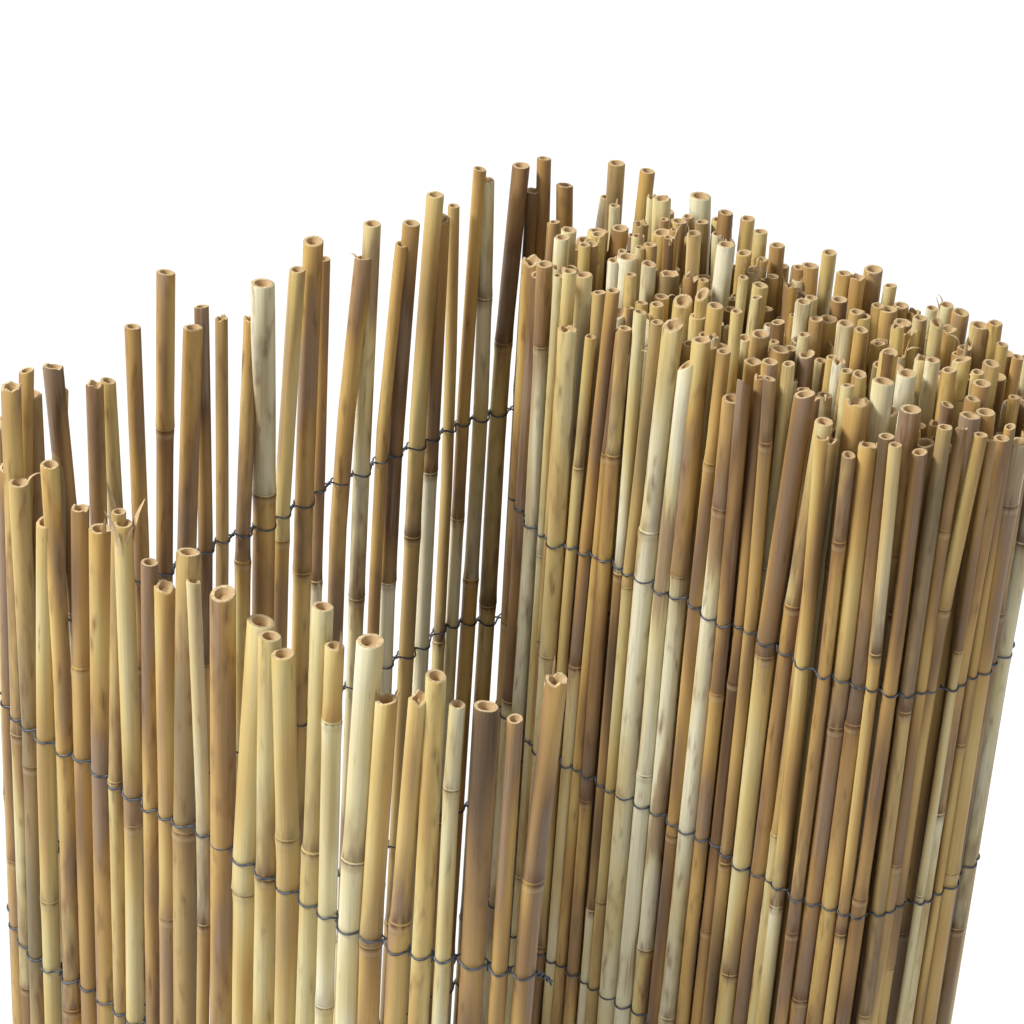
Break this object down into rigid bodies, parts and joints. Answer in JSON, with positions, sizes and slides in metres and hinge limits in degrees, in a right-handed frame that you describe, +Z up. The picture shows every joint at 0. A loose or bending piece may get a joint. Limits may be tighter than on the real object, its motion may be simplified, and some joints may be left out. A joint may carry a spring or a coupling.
{
  "type": "reed fence",
  "caption": "Natural reed fence mat standing upright, most of it rolled up, the last stretch opened into a loop, reeds bound by rows of thin twined wire",
  "frame": {"origin": "on the floor, at the centre of the plan's bounding box", "axes": "+Z up along the reeds, -Y towards the viewer of the picture, +X to the side of the roll"},
  "size_m": [0.3997, 0.3991, 1.031],
  "materials": {
    "reed": "dry natural cane, straw yellow to brown, satin skin",
    "wire": "dark annealed, dull"
  },
  "bodies": {
    "root": {"roll_turns": "reed", "rear_bend_reeds": "reed", "back_run_reeds": "reed", "left_bend_reeds": "reed", "front_run_reeds": "reed", "free_end_reeds": "reed", "outer_wire_1": "wire", "outer_wire_2": "wire", "outer_wire_3": "wire", "outer_wire_4": "wire", "outer_wire_5": "wire", "outer_wire_6": "wire", "outer_wire_7": "wire", "outer_wire_8": "wire", "inner_wire_1": "wire", "inner_wire_2": "wire", "inner_wire_3": "wire", "inner_wire_4": "wire", "inner_wire_5": "wire", "inner_wire_6": "wire", "inner_wire_7": "wire", "inner_wire_8": "wire"}
  },
  "joints": []
}
